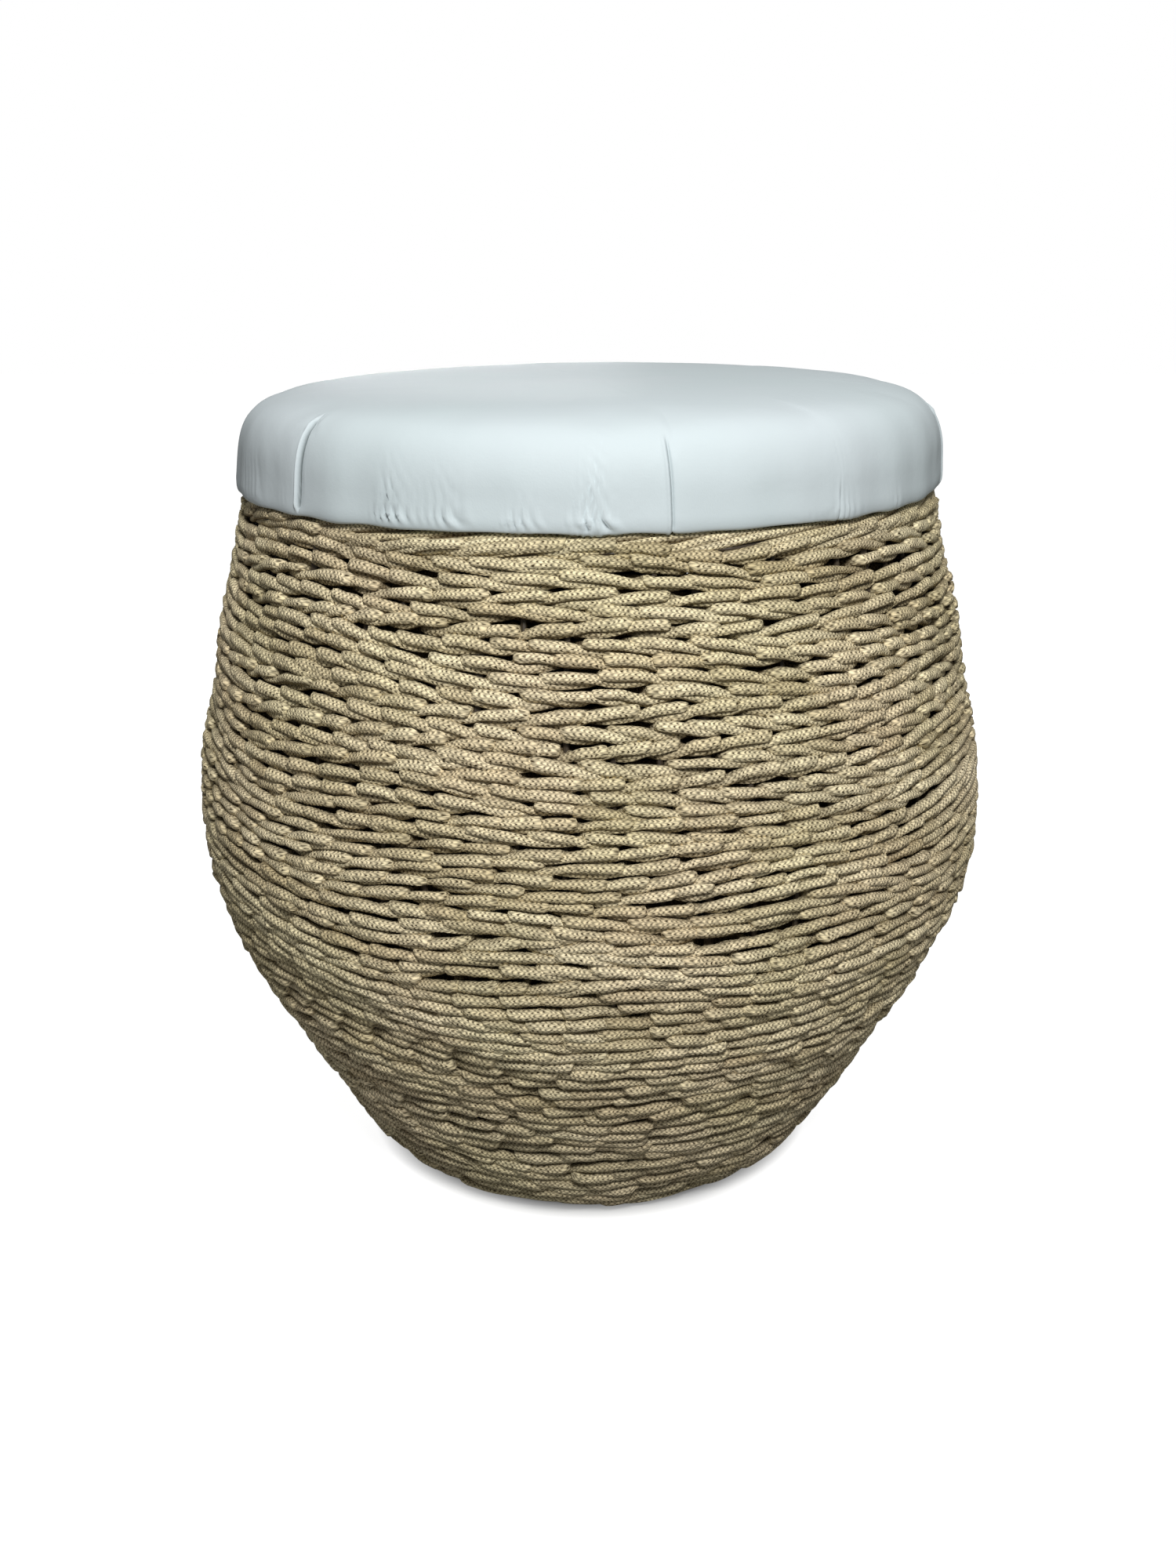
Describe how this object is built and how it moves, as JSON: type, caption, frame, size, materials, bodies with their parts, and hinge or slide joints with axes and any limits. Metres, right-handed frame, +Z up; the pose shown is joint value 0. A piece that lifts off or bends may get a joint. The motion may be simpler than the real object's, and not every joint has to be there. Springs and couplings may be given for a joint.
{
  "type": "outdoor ottoman footstool",
  "caption": "Pot-shaped outdoor ottoman of rope woven round a steel rod cage, with a round upholstered seat pad that lifts off.",
  "frame": {"origin": "on the floor under the middle of the drum", "axes": "+Z up along the drum's axis, -Y towards the viewer of the picture, +X to the viewer's right"},
  "size_m": [0.455, 0.455, 0.4565],
  "materials": {
    "knitted_rope": "knitted polyester tube rope, matte, khaki beige",
    "leatherette": "smooth vinyl leatherette, satin, pale blue white",
    "foam": "quick-dry polyurethane foam",
    "plywood": "birch plywood, sanded",
    "dust_cloth": "black non-woven cloth",
    "coated_steel": "powder-coated steel rod, dark brown, satin",
    "nylon": "black moulded nylon",
    "rubber": "black rubber",
    "zinc_steel": "bright zinc-plated screw"
  },
  "bodies": {
    "drum": {"base_bar_back": "coated_steel", "base_bar_front": "coated_steel", "base_bar_long": "coated_steel", "base_ring": "coated_steel", "belly_hoop": "coated_steel", "foot_wrap": "knitted_rope", "glide_1": "nylon", "glide_2": "nylon", "glide_3": "nylon", "glide_4": "nylon", "glide_screw_1": "zinc_steel", "glide_screw_2": "zinc_steel", "glide_screw_3": "zinc_steel", "glide_screw_4": "zinc_steel", "lower_hoop": "coated_steel", "rim_wrap": "knitted_rope", "shoulder_hoop": "coated_steel", "top_ring": "coated_steel", "upright_01": "coated_steel", "upright_02": "coated_steel", "upright_03": "coated_steel", "upright_04": "coated_steel", "upright_05": "coated_steel", "upright_06": "coated_steel", "upright_07": "coated_steel", "upright_08": "coated_steel", "upright_09": "coated_steel", "upright_10": "coated_steel", "upright_11": "coated_steel", "upright_12": "coated_steel", "weave_base": "knitted_rope", "weave_belly": "knitted_rope", "weave_flank": "knitted_rope", "weave_shoulder": "knitted_rope"},
    "seat_pad": {"block_screw_1": "zinc_steel", "block_screw_2": "zinc_steel", "block_screw_3": "zinc_steel", "block_screw_4": "zinc_steel", "dust_cloth": "dust_cloth", "locating_block_1": "rubber", "locating_block_2": "rubber", "locating_block_3": "rubber", "locating_block_4": "rubber", "seat_board": "plywood", "seat_cover": "leatherette", "seat_foam": "foam"}
  },
  "joints": [
    {"name": "seat_lift", "type": "slide", "parent": "drum", "child": "seat_pad", "axis": [0, 0, 1], "range_m": [0, 0.2]}
  ]
}
